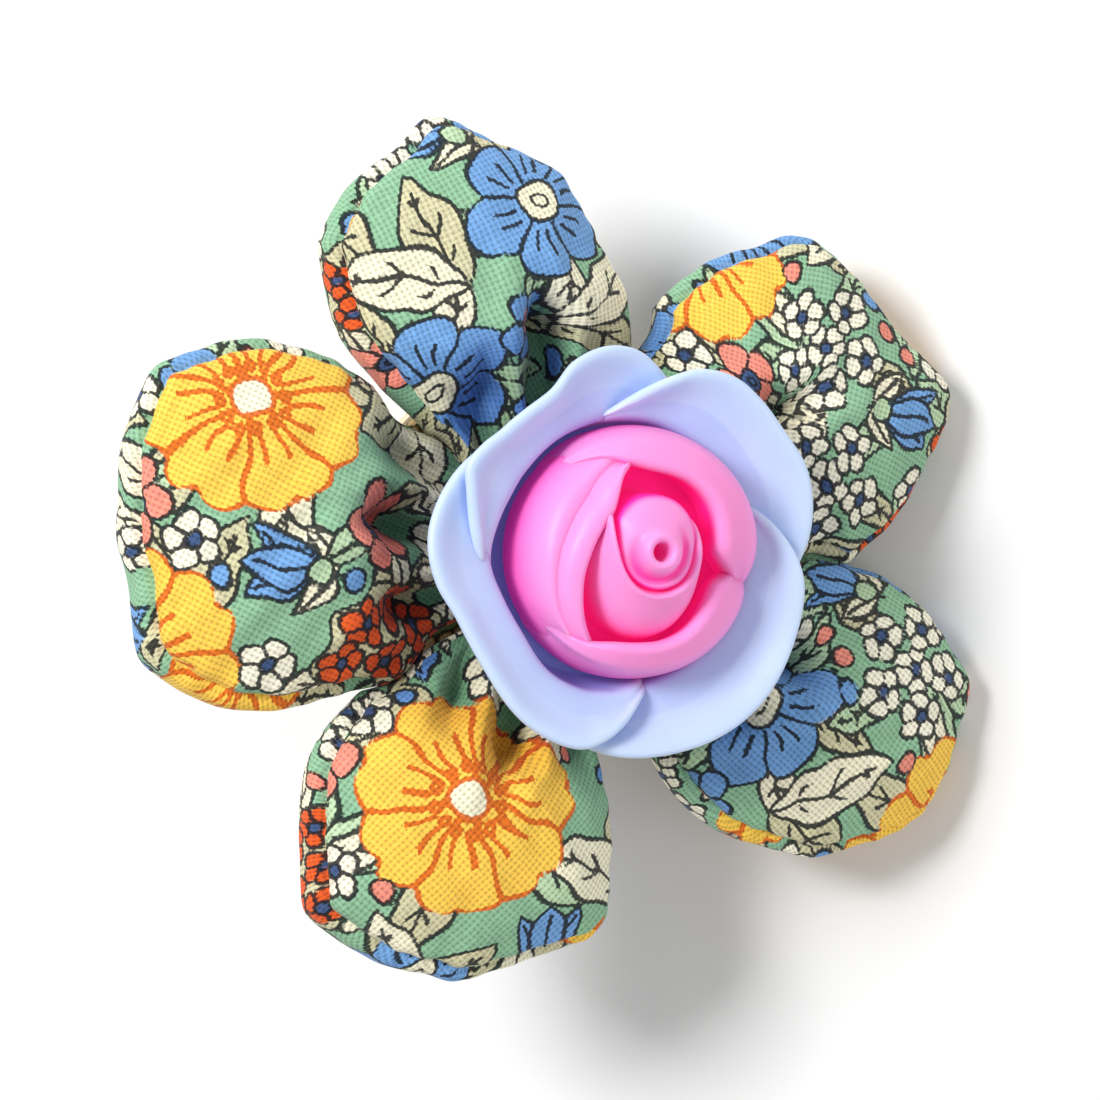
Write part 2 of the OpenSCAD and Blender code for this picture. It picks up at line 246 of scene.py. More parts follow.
def blossom(canvas, x, y, turn, size, petals, colour, heart, notch=0.3, veins=False):
    # round flower: its radius swells at each petal, with a line between petals and a ringed heart
    inside, a, b = nearMotif(canvas, x, y, turn, size * 1.3)
    r, angle = np.hypot(a, b), np.arctan2(b, a)
    lobe = np.abs(np.cos(angle * petals / 2))
    edge = size * (1 - notch * (1 - lobe ** 0.7)) * (1 + 0.05 * np.sin(3 * angle + x))
    paint(canvas, inside, (r - edge) * 0.88, colour)
    step = 2 * np.pi / petals
    fromGap = np.abs((angle % step) - step / 2)
    ink(canvas, inside, (r > size * 0.3) & (r < edge), r * np.sin(np.minimum(fromGap, 1.5)))
    if veins:
        fromMiddle = np.abs((angle + step / 2) % step - step / 2)
        tip = np.minimum(edge, size * (0.62 + 0.1 * np.cos(angle * petals)))
        ink(canvas, inside, (r > size * 0.36) & (r < tip), r * np.abs(fromMiddle - step * 0.16))
    paint(canvas, inside, r - size * 0.27, heart)
    ink(canvas, inside, size > 2, np.abs(r - size * 0.1) + 0.02)


def sunFlower(canvas, x, y, size, turn):
    # large flower of two layers of seven broad petals, half width by a sine of their length's share,
    # with orange lines, stamens and a pale heart
    inside, a, b = nearMotif(canvas, x, y, turn, size * 1.1)
    r, angle = np.hypot(a, b), np.arctan2(b, a)
    step = 2 * np.pi / 7
    widest = size * 1.05 * math.sin(step / 2)
    for shrink, offset in ((0.9, 0.5), (1.0, 0.0)):
        local = (angle + step * offset + step / 2) % step - step / 2
        along, across = r * np.cos(local), r * np.sin(local)
        far = size * shrink * (1 - 0.07 * bell(across, size * 0.09))
        half = widest * smooth(along / far * 1.3) * np.sqrt(np.clip(1 - (along / far) ** 5, 0, 1))
        distance = np.maximum((np.abs(across) - half) * 0.9, along - far)
        distance = np.where(along > 0, distance, noInk)
        paint(canvas, inside, distance, "yellow", 1.0)
        filled = distance < 0
        ink(canvas, inside, filled & (along < size * 0.6) & (along > size * 0.3),
            np.abs(np.abs(across) - half * 0.3))
        ink(canvas, inside, filled & (r > size * 0.2), r * np.sin(step / 2 - np.abs(local)))
    paint(canvas, inside, r - size * 0.17, "cream", 1.0)
    dots = np.hypot(r - size * 0.29, r * np.sin((angle % 0.52) - 0.26))
    near = dots < 0.5
    paint(canvas, inside[near], dots[near] - 0.22, "yellow", 1.0)


def leaf(canvas, x, y, length, width, turn, colour, bend=0.0, veins=True):
    # pointed leaf with its stalk end at x, y: half width by a sine, bent by a parabola, with a midrib
    inside, a, b = nearMotif(canvas, x, y, turn, length * 1.1)
    share = np.clip(a / length, 0, 1)
    b = b - bend * length * share ** 2
    half = width / 2 * np.sin(np.pi * share ** 0.85) ** 0.8
    outside = np.maximum(-a, a - length)
    distance = np.where(outside > 0, np.hypot(outside, b), (np.abs(b) - half) * 0.85)
    paint(canvas, inside, distance, colour)
    filled = distance < 0
    ink(canvas, inside, filled & (a < length * 0.86), np.abs(b))
    if veins:
        spacing = length / 3.4
        side = np.abs(((a - np.abs(b) * 1.2) / spacing) % 1 - 0.5) * spacing * 0.64
        middle = (np.abs(b) < half * 0.55) & (a > length * 0.2) & (a < length * 0.8)
        ink(canvas, inside, filled & middle, side)


def stem(canvas, x, y, length, turn, bend):
    # thin curved stalk, a parabola from x, y
    inside, a, b = nearMotif(canvas, x, y, turn, length * 1.1)
    share = np.clip(a / length, 0, 1)
    ink(canvas, inside, (a > 0) & (a < length), np.abs(b - bend * length * share ** 2))


def berry(canvas, x, y, size, colour):
    # plain disc
    inside, a, b = nearMotif(canvas, x, y, 0.0, size * 2)
    paint(canvas, inside, np.hypot(a, b) - size, colour)


def spray(canvas, x, y, length, turn, bend, colour):
    # stalk with small leaves in pairs and a berry at its tip
    stem(canvas, x, y, length, turn, bend)
    for k in range(4):
        share = 0.22 + 0.2 * k
        foot = ahead(*ahead(x, y, turn, length * share), turn + math.pi / 2, bend * length * share ** 2)
        heading = turn + math.atan(2 * bend * share)
        for side in (-1, 1):
            leaf(canvas, *foot, 1.95 - 0.15 * k, 1.0, heading + side * 0.85, colour, 0.1 * side, veins=False)
    berry(canvas, *ahead(*ahead(x, y, turn, length), turn + math.pi / 2, bend * length), 0.6, "blue")


def scatterMotifs():
    # places the motifs, large ones first, each clear of those before it, on a tile that repeats
    placed = []
    size = clothPrint["repeat"]
    for kind, clear, count in motifRows:
        made, tries = 0, 0
        while made < count and tries < clothPrint["tries"]:
            tries += 1
            x, y, turn = (printRandom.uniform(0, span) for span in (size, size, 2 * math.pi))
            apart = [math.hypot(wrapped(atX - x), wrapped(atY - y)) - (clear + room) * clothPrint["closeness"]
                     for _, atX, atY, _, room in placed]
            if min(apart, default=1.0) > 0:
                placed.append((kind, x, y, turn, clear))
                made += 1
    return placed


motifs = scatterMotifs()


def drawUnder(canvas, kind, x, y, turn, clear):
    # leaves and stalks, which lie under the flowers
    leafColours = ("cream", "olive", "paleGreen")
    if kind in ("sun", "bloom", "redCluster", "whiteCluster"):
        for k in range(5):
            heading = turn + k * 2 * math.pi / 5 + 0.3 * math.sin(7 * k + x)
            leaf(canvas, *ahead(x, y, heading, clear * 0.55), clear * 1.05, clear * 0.5, heading,
                 leafColours[(k + int(x)) % 3], 0.16 * math.sin(3 * k + y))
    elif kind in ("coral", "star"):
        for k in range(3):
            heading = turn + k * 2.1 + 0.4 * math.sin(5 * k + y)
            leaf(canvas, *ahead(x, y, heading, clear * 0.5), clear * 1.2, clear * 0.62, heading,
                 leafColours[(k + int(y)) % 3], 0.2 * math.sin(4 * k + x), veins=False)
    elif kind == "creamLeaves":
        for side, colour, length in ((-1, "olive", 6.4), (1, "cream", 7.4)):
            leaf(canvas, *ahead(x, y, turn, -3.3), length, 3.4, turn + side * 0.4, colour, 0.12 * side)
    elif kind == "blueBud":
        stem(canvas, *ahead(x, y, turn, -3.2), 2.4, turn, 0.0)
        for side in (-1, 1):
            leaf(canvas, *ahead(x, y, turn, -2.6), 2.9, 1.2, turn + side, "cream", -0.15 * side, veins=False)
    elif kind == "sprig":
        spray(canvas, *ahead(x, y, turn, -2.2), 4.6, turn, 0.18, "cream")


def drawOver(canvas, kind, x, y, turn):
    # flowers, buds and berries
    if kind in blossomRows:
        blossom(canvas, x, y, turn, *blossomRows[kind])
    elif kind == "sun":
        sunFlower(canvas, x, y, 6.1, turn)
    elif kind in clusterRows:
        count, ring, spin, flower = clusterRows[kind]
        if kind == "redCluster":
            inside, a, b = nearMotif(canvas, x, y, turn, 5.5)
            paint(canvas, inside, np.hypot(a, b) - 4.4 - 0.25 * np.cos(9 * np.arctan2(b, a)), "olive")
        for k in range(count + 1):
            place = ahead(x, y, turn + k * 2 * math.pi / count, ring if k else 0.0)
            blossom(canvas, *place, turn + spin * k, *flower)
    elif kind == "blueBud":
        for side, width in ((-0.42, 1.7), (0.42, 1.7), (0.0, 2.2)):
            leaf(canvas, *ahead(x, y, turn, -1.5), 3.9, width, turn + side, "blue", 0.08 * side, veins=False)
        berry(canvas, *ahead(x, y, turn, -1.7), 0.75, "paleGreen")
    elif kind == "bud":
        berry(canvas, x, y, 0.62, ("coral", "cream", "blue")[int(x * 3) % 3])


def drawCloth(x, y):
    # colour, distance to the nearest outline and warmth of that outline, at each place on the cloth;
    # slow waves shift the places a little, so that the outlines waver as if drawn by hand
    wave, waver = 2 * np.pi / clothPrint["repeat"], clothPrint["waver"]
    x, y = (x + waver * np.sin(wave * 11 * y + 2 * np.sin(wave * 5 * x)),
            y + waver * np.sin(wave * 13 * x + 2 * np.sin(wave * 7 * y)))
    canvas = {
        "x": x, "y": y,
        "colour": np.tile(np.array(linear(clothPrint["ground"])[:3]), (len(x), 1)),
        "gap": np.full(len(x), noInk),
        "warm": np.zeros(len(x)),
    }
    for kind, atX, atY, turn, clear in motifs:
        drawUnder(canvas, kind, atX, atY, turn, clear)
    for kind, atX, atY, turn, clear in motifs:
        drawOver(canvas, kind, atX, atY, turn)
    return canvas


petalForm = {
    "middle": 14.5,       # from the flower's centre to the middle of each petal
    "front": 3.9,         # how far the filling bulges to the front
    "back": 3.6,
    "gap": 0.05,          # room between two petals
    "waver": 0.4,         # how far the line between two petals swings to either side
    "rootShare": 0.6,     # share of the bulge that is left at the root
    "pinchDepth": 2.8,
    "pinchWidth": 1.05,
    "ridgeHeight": 0.4,   # of the rolls beside a fold
    "gatherDepth": 0.42,
    "gatherCount": 31,    # fine gathers in a full turn
    "gatherEnd": 12.6,    # distance from the flower's centre at which they have faded out
    "lumps": 0.12,
    "seamTilt": 74.0,     # mean degrees from the front pole to the sewn edge
    "seamSwing": 7.0,     # how much nearer to the front it runs on the flower's lower left
    "seamSide": 215,      # direction of the lower left, in degrees
    "seamDepth": 0.34,
    "seamWidth": 0.3,
    "seamRidge": 0.12,
    "stitch": 1.9,        # from one pucker of the seam to the next
    "pucker": 0.075,
    "floorRoom": 0.03,    # least height above the surface that the earring lies on
    "poleRoom": 0.012,    # radians from each pole to the nearest row of points
    "columns": 450,
    "frontRows": 64,
    "backRows": 96,
}
# One row for each petal: direction; its front folds, each where it ends, how far to the side and how
# strong; its back folds in the same way; then where its front and back pieces were cut from the cloth:
# place along, across, and turn
petalRows = {
    "petal_1": (106, [(14.7, -1.4, 1.0), (12.2, 2.6, 0.6)], [(15.6, -1.0, 1.0), (14.2, 2.4, 0.7)],
                (13.4, 11.7, 80), (20, 5, 60)),
    "petal_2": (30, [(16.4, 0.7, 0.95), (13.8, -3.4, 0.6)], [(15.2, 1.4, 1.0), (13.6, -2.6, 0.6)],
                (31.4, 14.0, -41), (12, 23, 10)),
    "petal_3": (-33, [(15.4, 1.8, 1.0), (14.0, -2.6, 0.6)], [(14.8, -1.2, 1.0), (13.8, 2.8, 0.7)],
                (5.8, 9.6, 97), (3, 16, 80)),
    "petal_4": (-108, [(13.0, -0.5, 1.1), (11.6, 3.4, 0.5), (11.4, -4.2, 0.45)],
                [(15.8, -0.6, 1.0), (13.4, 2.7, 0.6)], (6.3, 23.9, -65), (17, 13, 200)),
    "petal_5": (175, [(13.0, -0.7, 1.0), (11.4, 3.6, 0.7), (12.2, -4.8, 0.5)],
                [(15.4, 1.0, 1.0), (14.0, -2.4, 0.7)], (29.5, 29.0, -68), (28, 2, -30)),
}
# Radius of each outline about the petal's middle, at steps of 22.5 degrees from its tip, counter-clockwise
outlineRows = {
    "petal_1": [8.3, 8.5, 9.1, 8.8, 8.5, 7.95, 8.1, 9.6, 11.5, 9.7, 9.0, 7.8, 6.6, 6.4, 6.9, 7.3],
    "petal_2": [8.6, 8.6, 9.5, 9.1, 9.2, 9.15, 9.1, 9.9, 11.5, 9.9, 9.8, 9.1, 8.5, 8.3, 9.0, 9.8],
    "petal_3": [10.8, 11.1, 10.9, 9.9, 8.7, 9.1, 9.6, 9.9, 11.5, 9.1, 7.7, 7.4, 7.5, 7.7, 8.2, 9.3],
    "petal_4": [8.3, 7.9, 7.8, 8.5, 7.5, 7.0, 7.3, 8.8, 11.5, 9.9, 9.1, 9.4, 9.8, 9.7, 9.9, 9.3],
    "petal_5": [9.2, 9.1, 9.9, 10.0, 9.2, 8.7, 9.8, 9.9, 11.5, 9.9, 8.6, 8.45, 9.05, 10.0, 10.4, 10.1],
}
# Where the sewn edge turns a sharper corner: turn from the tip, how far it stands out, half width
cornerRows = {
    "petal_1": [(6, 0.9, 8), (62, 0.5, 9), (-48, 0.35, 10)],
    "petal_2": [(-21, 0.6, 8), (56, 0.5, 9), (-70, 0.4, 10)],
    "petal_3": [(36, 0.8, 8), (-40, 0.45, 9), (-8, 0.2, 8)],
    "petal_4": [(-46, 0.6, 8), (6, 0.45, 8), (62, 0.4, 9)],
    "petal_5": [(-42, 0.65, 8), (8, 0.35, 8), (44, 0.7, 8)],
}
petalNames = list(petalRows)


def neighbourRadius(half, turn, swing, phase):
    # radius at which the ray at this turn meets the line half way to the next petal; the line wavers
    # with its distance from the flower's centre, and both neighbours follow it
    slope = math.tan(half)
    down = np.sin(turn) - np.cos(turn) * slope
    steep = np.maximum(down, 0.05)
    straight = petalForm["middle"] * slope / steep
    away = np.hypot(petalForm["middle"] + straight * np.cos(turn), straight * np.sin(turn))
    shift = petalForm["gap"] / 2 + swing * petalForm["waver"] * np.sin(np.minimum(away, 30) * 0.95 + phase)
    return np.where(down < 0.05, 99.0, straight - shift / math.cos(half) / steep)


def petalOutline(name, turn):
    # the outline's radius: its table, its corners, and the room that its neighbours leave
    index = petalNames.index(name)
    following = (index + 1) % len(petalNames)
    here, left, right = (petalRows[petalNames[i]][0] for i in (index, index - 1, following))
    degrees = np.degrees(turn)
    radius = roundTable(outlineRows[name], degrees)
    for at, high, wide in cornerRows[name]:
        off = (degrees - at + 180) % 360 - 180
        radius = radius + high * np.exp((4 - np.hypot(off, 4)) / wide)
    leftRoom = neighbourRadius(math.radians((left - here) % 360) / 2, turn, 1, index * 1.7)
    rightRoom = neighbourRadius(math.radians((here - right) % 360) / 2, -turn, -1, following * 1.7)
    return np.minimum(radius, np.minimum(leftRoom, rightRoom))


def petalPoints(name, turn, tilt, seed):
    # stuffed petal: reach by sine and height by a power of the cosine of the tilt, less its folds and
    # gathers, with faint lumps; and a painted shade level, lower in the folds, the gathers and near the rose
    form, row = petalForm, petalRows[name]
    reach = petalOutline(name, turn) * np.sin(tilt)
    a = form["middle"] + reach * np.cos(turn)
    b = reach * np.sin(turn)
    share = form["rootShare"] + (1 - form["rootShare"]) * smooth((a - 4) / 10)
    front = np.cos(tilt) >= 0
    swell = np.sign(np.cos(tilt)) * np.abs(np.cos(tilt)) ** 0.92
    full = share * swell * np.where(front, form["front"], form["back"])

    # folds: a valley that narrows towards the root, with a roll on each side and one past its end
    dent, foldShade = np.zeros_like(a), np.zeros_like(a)
    folds = [(front, *fold) for fold in row[1]] + [(~front, *fold) for fold in row[2]]
    for side, endA, endB, strong in folds:
        line = endB * (0.45 + 0.55 * a / endA) + 0.22 * np.sin(a * 0.9 + seed)
        away = endA - a
        off = (b - line) / (form["pinchWidth"] * (0.75 + 0.25 * smooth(away / 4)))
        valley = np.exp(-np.abs(off) ** 1.25) * smooth(away / 2.8) * (1 + 0.25 * bell(away - 2.6, 1.3))
        rolls = bell(off - 1.9, 0.95) + bell(off + 1.9, 0.95) + 0.7 * bell(off, 1.6) * bell(away + 1.2, 1.3)
        rolls = rolls * smooth((away + 3) / 3)
        dent = dent + side * strong * (form["pinchDepth"] * valley - form["ridgeHeight"] * rolls)
        # strength of the fold valley, kept for the painted shade in the folds
        foldShade = np.maximum(foldShade, side * strong * valley)

    # gathers: a wave round the root that fades out along the petal
    fade = smooth((form["gatherEnd"] - a) / 3.5)
    turnAway = np.degrees(np.arctan2(b, np.maximum(a, 1)))
    phase = np.radians(turnAway) * form["gatherCount"] + 1.2 * np.sin(turnAway * 0.11 + seed) + seed
    gathers = 0.5 + 0.5 * np.cos(phase)
    dent = dent + form["gatherDepth"] * fade * gathers
    # painted shade: darker in the fold valleys and the gathers, and within 13 mm of the flower's centre, near
    # the rose
    paintedLight = (1 - 0.5 * foldShade) * (1 - 0.25 * gathers * fade) * (1 - 0.28 * smooth((13 - a) / 4))

    dent = dent * np.minimum(1, np.abs(np.cos(tilt)) * 2)
    z = np.where(front, full - np.minimum(dent, full * 0.8), full + np.minimum(dent, -full * 0.65))
    lumps = form["lumps"] * np.sin(a * 1.1 + seed) * np.sin(b * 1.3 + 2 * seed)
    lumps = lumps + 0.07 * np.sin(a * 2.3 - b * 1.7 + seed)
    return a, b, z + lumps * np.cos(tilt) * smooth((a - 6) / 4), paintedLight


def petalNormals(p):
    # unit normals of a grid that closes round its columns, pointing out of the petal
    down = np.gradient(p, axis=0)
    across = (np.roll(p, -1, 1) - np.roll(p, 1, 1)) / 2
    n = np.cross(down, across)
    return n / np.maximum(np.linalg.norm(n, axis=2, keepdims=True), 1e-9)


def turned(u, v, angle):
    # flat coordinates turned about 0 by an angle in degrees
    c, s = math.cos(math.radians(angle)), math.sin(math.radians(angle))
    return u * c - v * s, u * s + v * c


def buildPetal(name, material):
    # grid of turns round the petal's middle by tilts from its front pole over the sewn edge to its back
    # pole; the cloth moves along its normals by the seam's groove, ridge and puckers
    form, row = petalForm, petalRows[name]
    seed = petalNames.index(name) * 1.7 + 0.4
    turns = np.arange(form["columns"]) * 2 * np.pi / form["columns"]
    swing = form["seamSwing"] * np.cos(turns + math.radians(row[0] - form["seamSide"]))
    seam = np.radians(form["seamTilt"] - swing)
    low, high = form["poleRoom"], math.pi - form["poleRoom"]
    frontShare = np.linspace(0, 1, form["frontRows"])[:, None]
    backShare = np.linspace(0, 1, form["backRows"] + 1)[1:, None]
    tilt = np.vstack([low + (seam - low) * frontShare, seam + (high - seam) * backShare])
    turn = np.broadcast_to(turns, tilt.shape)
    a, b, z, paintedLight = petalPoints(name, turn, tilt, seed)
    p = np.stack([a, b, z], -1)
    n = petalNormals(p)
    step = np.linalg.norm(np.diff(p, axis=0), axis=2)
    fromFront = np.vstack([np.zeros(turn.shape[1]), np.cumsum(step, axis=0)])
    seamRow = form["frontRows"] - 1
    fromSeam = np.abs(fromFront - fromFront[seamRow])
    groove = form["seamDepth"] * np.exp(-(fromSeam / form["seamWidth"]) ** 1.4)
    ridge = form["seamRidge"] * bell(fromSeam - 0.75, 0.45)
    edgeLength = np.cumsum(np.linalg.norm(np.roll(p[seamRow], -1, 0) - p[seamRow], axis=1))
    phase = edgeLength * 2 * np.pi / form["stitch"] + 1.3 * np.sin(edgeLength * 0.7 + seed)
    pucker = form["pucker"] * np.sin(phase) * np.exp(-fromSeam / 0.9)
    pucker = pucker + form["pucker"] * 0.8 * np.sin(phase * 0.43 + seed) * np.exp(-fromSeam / 2.2)
    p = p + n * ((-groove + ridge + pucker) * smooth((a - 8.5) / 3))[..., None]

    # turned to the petal's direction, and pressed flat where it meets the surface
    x, y = turned(p[..., 0], p[..., 1], row[0])
    points = np.stack([x, y, p[..., 2]], -1).reshape(-1, 3)
    height = points @ restTurn[2] + rest["shift"][2]
    points = points + np.outer(np.maximum(form["floorRoom"] - height, 0), restTurn[2])
    rows, columns = turn.shape
    piece, corners = closedShell(name + "_cloth", points, rows, columns)

    # each side's flat place on the cloth: distance over the surface from its pole, along the turn;
    # faces above the seam take the front's and the others the back's
    quadFront = np.arange((rows - 1) * columns) < seamRow * columns
    frontCorner = np.concatenate([np.repeat(quadFront, 4), np.repeat(np.arange(2 * columns) < columns, 3)])
    place = np.zeros((len(corners), 2))
    colour = np.ones((len(corners), 4))
    gap, warm = np.zeros(len(corners)), np.zeros(len(corners))
    sides = ((fromFront, row[3], 1, frontCorner), (fromFront[-1] - fromFront, row[4], -1, ~frontCorner))
    for reach, (atX, atY, cut), mirror, mine in sides:
        u, v = turned(reach * np.cos(turn), mirror * reach * np.sin(turn), cut)
        chart = np.vstack([np.stack([atX + u, atY + v], -1).reshape(-1, 2), [[atX, atY]] * 2])
        drawn = drawCloth(chart[:, 0], chart[:, 1])
        picked = corners[mine]
        place[mine], colour[mine, :3] = chart[picked], drawn["colour"][picked]
        gap[mine], warm[mine] = drawn["gap"][picked], drawn["warm"][picked]
    mesh = piece.data
    # painted shade level of each point, 1 where lit; the poles take the mean of the rows beside them
    addValues(mesh, "paintedLightLevel", np.append(paintedLight.ravel(), [paintedLight[0].mean(), paintedLight[-1].mean()]))
    mesh.uv_layers.new(name="cloth").data.foreach_set("uv", place.astype(np.float32).ravel())
    addValues(mesh, "printColour", colour, "FLOAT_COLOR", "CORNER")
    addValues(mesh, "inkGap", gap, domain="CORNER")
    addValues(mesh, "inkWarm", warm, domain="CORNER")
    mesh.materials.append(material)
    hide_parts(name)
    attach(piece, "flower")


def cottonMaterial():
    # Printed plain-weave cotton: matt, threads 0.3 mm apart over and under each other, with painted shade
    # in the pores between them, ink that creeps along the threads, and painted shade in the folds that
    # darkens the colours and makes them deeper.
    # The piece's UV map is in millimetres: yarn and ink vary over 0.3 to 0.4 mm, the colour over 3 mm
    material, tree = newMaterial("printed plain-weave cotton")
    place = addNode(tree, "UVMap", {}, uv_map="cloth")
    drift = addNode(tree, "TexNoise", {"Vector": place, "Scale": 0.3, "Detail": 1.0})
    drifted = addNode(tree, "VectorMath", {0: drift.outputs["Color"], 1: (0.5, 0.5, 0.0), 2: place},
                      operation="MULTIPLY_ADD")
    split = addNode(tree, "SeparateXYZ", {0: drifted})
    waves, signs, crowns, yarns = [], [], [], []
    for axis, stretch in ((0, (1.0, 0.06, 1.0)), (1, (0.06, 1.0, 1.0))):
        scaled = addNode(tree, "Math", {0: split.outputs[axis], 1: math.pi / clothPrint["thread"]},
                         operation="MULTIPLY")
        waves.append(addNode(tree, "Math", {0: scaled}, operation="SINE"))
        across = addNode(tree, "Math", {0: waves[axis]}, operation="ABSOLUTE")
        crowns.append(addNode(tree, "Math", {0: across, 1: 0.85}, operation="POWER"))
        signs.append(addNode(tree, "Math", {0: waves[axis]}, operation="SIGN"))
        drawn = addNode(tree, "Mapping", {"Vector": drifted, "Scale": stretch})
        uneven = addNode(tree, "TexNoise", {"Vector": drawn, "Scale": 2.6, "Detail": 1.0})
        yarns.append(addNode(tree, "MapRange", {"Value": uneven, **noiseRange, "To Min": 0.84, "To Max": 1.1}))
    threads = []
    for mine, other, lift, level in ((0, 1, 0.2, 0.8), (1, 0, -0.26, 0.7)):
        under = addNode(tree, "Math", {0: signs[mine], 1: waves[other]}, operation="MULTIPLY")
        crimp = addNode(tree, "Math", {0: under, 1: lift, 2: level}, operation="MULTIPLY_ADD")
        crown = addNode(tree, "Math", {0: crowns[mine], 1: crimp}, operation="MULTIPLY")
        threads.append(addNode(tree, "Math", {0: crown, 1: yarns[mine]}, operation="MULTIPLY"))
    height = addNode(tree, "Math", {0: threads[0], 1: threads[1]}, operation="MAXIMUM")

    # the outline is inked where its distance, less the thread's height and a wobble, is small
    colour = addNode(tree, "Attribute", {}, attribute_name="printColour")
    gap = addNode(tree, "Attribute", {}, attribute_name="inkGap").outputs["Fac"]
    warm = addNode(tree, "Attribute", {}, attribute_name="inkWarm").outputs["Fac"]
    wobble = addNode(tree, "TexNoise", {"Vector": place, "Scale": 3.2, "Detail": 2.0})
    edge = gap
    for source, amount in ((wobble, 0.1), (warm, -0.045), (height, 0.09)):
        edge = addNode(tree, "Math", {0: source, 1: amount, 2: edge}, operation="MULTIPLY_ADD")
    inked = addNode(tree, "MapRange", {
        "Value": edge, "From Min": 0.185, "From Max": 0.265, "To Min": 0.95, "To Max": 0.0},
        interpolation_type="SMOOTHSTEP")
    inkTone = addNode(tree, "Mix", {0: warm, 6: linear(clothPrint["ink"]), 7: linear(clothPrint["warmInk"])},
                      data_type="RGBA")
    wash = addNode(tree, "TexNoise", {"Vector": place, "Scale": 0.35, "Detail": 3.0, "Roughness": 0.6})
    tint = addNode(tree, "Mix", {0: wash, 6: linear("#f4fbf0"), 7: linear("#fffaf4")}, data_type="RGBA")
    washed = addNode(tree, "VectorMath", {0: colour, 1: tint.outputs[2]}, operation="MULTIPLY")
    printed = addNode(tree, "Mix", {0: inked, 6: washed, 7: inkTone.outputs[2]}, data_type="RGBA").outputs[2]

    # thicker and thinner yarn, painted shade in the pores, and painted shade in the folds that dims and
    # deepens the print
    slub = addNode(tree, "TexNoise", {"Vector": place, "Scale": 2.4, "Detail": 3.0, "Roughness": 0.6})
    patchy = addNode(tree, "MapRange", {"Value": slub, **noiseRange, "To Min": 0.94, "To Max": 1.08})
    paintedLightLevel = addNode(tree, "Attribute", {}, attribute_name="paintedLightLevel").outputs["Fac"]
    # painted shade in the folds: the print is darkened there
    foldShadeDim = addNode(tree, "Math", {0: paintedLightLevel, 1: 0.45}, operation="POWER")
    # painted shade in the pores and on the sides of the threads, painted highlight on their crowns
    shade = addNode(tree, "MapRange", {
        "Value": height, "From Min": 0.15, "From Max": 0.9, "To Min": 0.56, "To Max": 1.14})
    for layer in (patchy, foldShadeDim):
        shade = addNode(tree, "Math", {0: shade, 1: layer}, operation="MULTIPLY")
    # painted shade in the folds: the print is multiplied by itself there, so its colour deepens
    foldShadeTint = addNode(tree, "Mix", {0: paintedLightLevel, 6: printed, 7: (1.0, 1.0, 1.0, 1.0)}, data_type="RGBA")
    foldShadeTinted = addNode(tree, "VectorMath", {0: printed, 1: foldShadeTint.outputs[2]}, operation="MULTIPLY")
    shaded = addNode(tree, "VectorMath", {0: foldShadeTinted, "Scale": shade}, operation="SCALE")
    bump = addNode(tree, "Bump", {"Height": height, "Strength": 0.5, "Distance": 0.00005})
    surface = addNode(tree, "BsdfPrincipled", {
        "Base Color": shaded, "Normal": bump, "Roughness": clothPrint["roughness"],
        "Sheen Weight": clothPrint["sheen"], "Sheen Roughness": 0.5, "Specular IOR Level": 0.25})
    addNode(tree, "OutputMaterial", {"Surface": surface})
    return material


def closedSpline(controls, count):
    # soft closed curve that follows a ring of control points: uniform cubic B-spline
    total = len(controls)
    x = np.arange(count) / count * total
    i = np.floor(x).astype(int)
    t = x - i
    weights = [(1 - t) ** 3 / 6, (3 * t ** 3 - 6 * t ** 2 + 4) / 6,
               (-3 * t ** 3 + 3 * t ** 2 + 3 * t + 1) / 6, t ** 3 / 6]
    return sum(w[:, None, None] * controls[(i + k - 1) % total] for k, w in enumerate(weights))


def roseShell(name, r, h, turn, paintedLight, polePaintedLight, axis, material, flip=True):
    # closed shell from grids of radius, height and turn about an upright axis: x by cosine, y by sine;
    # the painted shade level of each pole is worked out from the row beside it
    points = np.stack([axis[0] + r * np.cos(turn), axis[1] + r * np.sin(turn), axis[2] + h], -1)
    piece, _ = closedShell(name, points.reshape(-1, 3), *r.shape, flip)
    addValues(piece.data, "paintedLightLevel", np.append(paintedLight.ravel(), [polePaintedLight(paintedLight[0]), polePaintedLight(paintedLight[-1])]))
    piece.data.materials.append(material)
    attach(piece, "flower")
    return piece


def sweptPetal(name, rows, section, axis, grid, material):
    # rose petal: a closed section in radius and height, carried round an axis while the table's
    # columns (turn, then the section's own sizes) change along it; both ends are closed
    along, around = grid
    table = openTable(rows, along)
    controls, crest, outside, inside = section(table)
    loop = closedSpline(controls, around)                # around x along x 2
    r, h = loop[..., 0].T, loop[..., 1].T                # along x around
    # painted shade: darker with depth below the crest, sooner on the inside
    below = h.max(axis=1, keepdims=True) - h
    past = np.arange(around) > crest * around
    paintedLight = np.where(past, 1 - smooth(below / inside), 1 - smooth((below - 0.8) / outside))
    return roseShell(name, r, h, np.radians(table[:, :1]), paintedLight, np.min, axis, material,
                     flip=table[-1, 0] > table[0, 0])


def lathed(name, profile, axis, material, shape=None):
    # closed shell of radius and height carried round an axis; shape turns them into a form of its own
    # and gives the painted shade level of each place; without it, the whole piece is painted in full shade
    profile = np.asarray(profile, float)
    turns = np.arange(roseForm["turns"]) * 2 * np.pi / roseForm["turns"]
    r, turn = np.meshgrid(profile[:, 0], turns, indexing="ij")
    h, paintedLight = np.broadcast_to(profile[:, 1:], r.shape), np.zeros(r.shape)
    if shape:
        r, h, paintedLight = shape(r, turn)
    return roseShell(name, r, h, turn, paintedLight, np.mean, axis, material)


